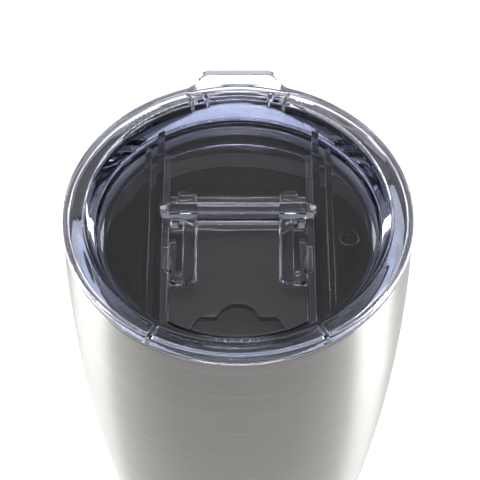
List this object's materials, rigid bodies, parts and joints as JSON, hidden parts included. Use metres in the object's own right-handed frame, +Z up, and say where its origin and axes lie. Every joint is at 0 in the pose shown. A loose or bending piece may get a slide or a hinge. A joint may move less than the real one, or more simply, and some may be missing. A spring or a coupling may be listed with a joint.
{
  "type": "insulated tumbler",
  "caption": "Vacuum insulated steel tumbler with a clear press-in lid, a silicone seal and a slider over the drinking opening.",
  "frame": {"origin": "centre of the base, on the surface the tumbler stands on", "axes": "+Z up along the body's axis; the drinking opening is towards -Y and the lid's thumb tab towards +Y"},
  "size_m": [0.1022, 0.1057, 0.201],
  "materials": {
    "brushed_steel": "brushed round the body",
    "liner_steel": "satin, electropolished",
    "plate_steel": "satin",
    "solder_glass": "fused",
    "getter_alloy": "sintered, matt",
    "clear_plastic": "clear, polished",
    "slider_plastic": "clear, polished",
    "clear_silicone": "translucent"
  },
  "bodies": {
    "tumbler": {"outer_shell": "brushed_steel", "inner_liner": "liner_steel", "outer_bottom": "plate_steel", "base_cover": "plate_steel", "seal_bead": "solder_glass", "getter": "getter_alloy", "getter_clip": "plate_steel"},
    "lid": {"lid_body": "clear_plastic", "lid_gasket": "clear_silicone"},
    "slider": {"slider": "slider_plastic"}
  },
  "joints": [
    {"name": "lid_lift", "type": "slide", "parent": "tumbler", "child": "lid", "axis": [0, 0, 1], "range_m": [0, 0.03]},
    {"name": "slider_slide", "type": "slide", "parent": "lid", "child": "slider", "axis": [0, 1, 0], "range_m": [0, 0.0125]}
  ]
}
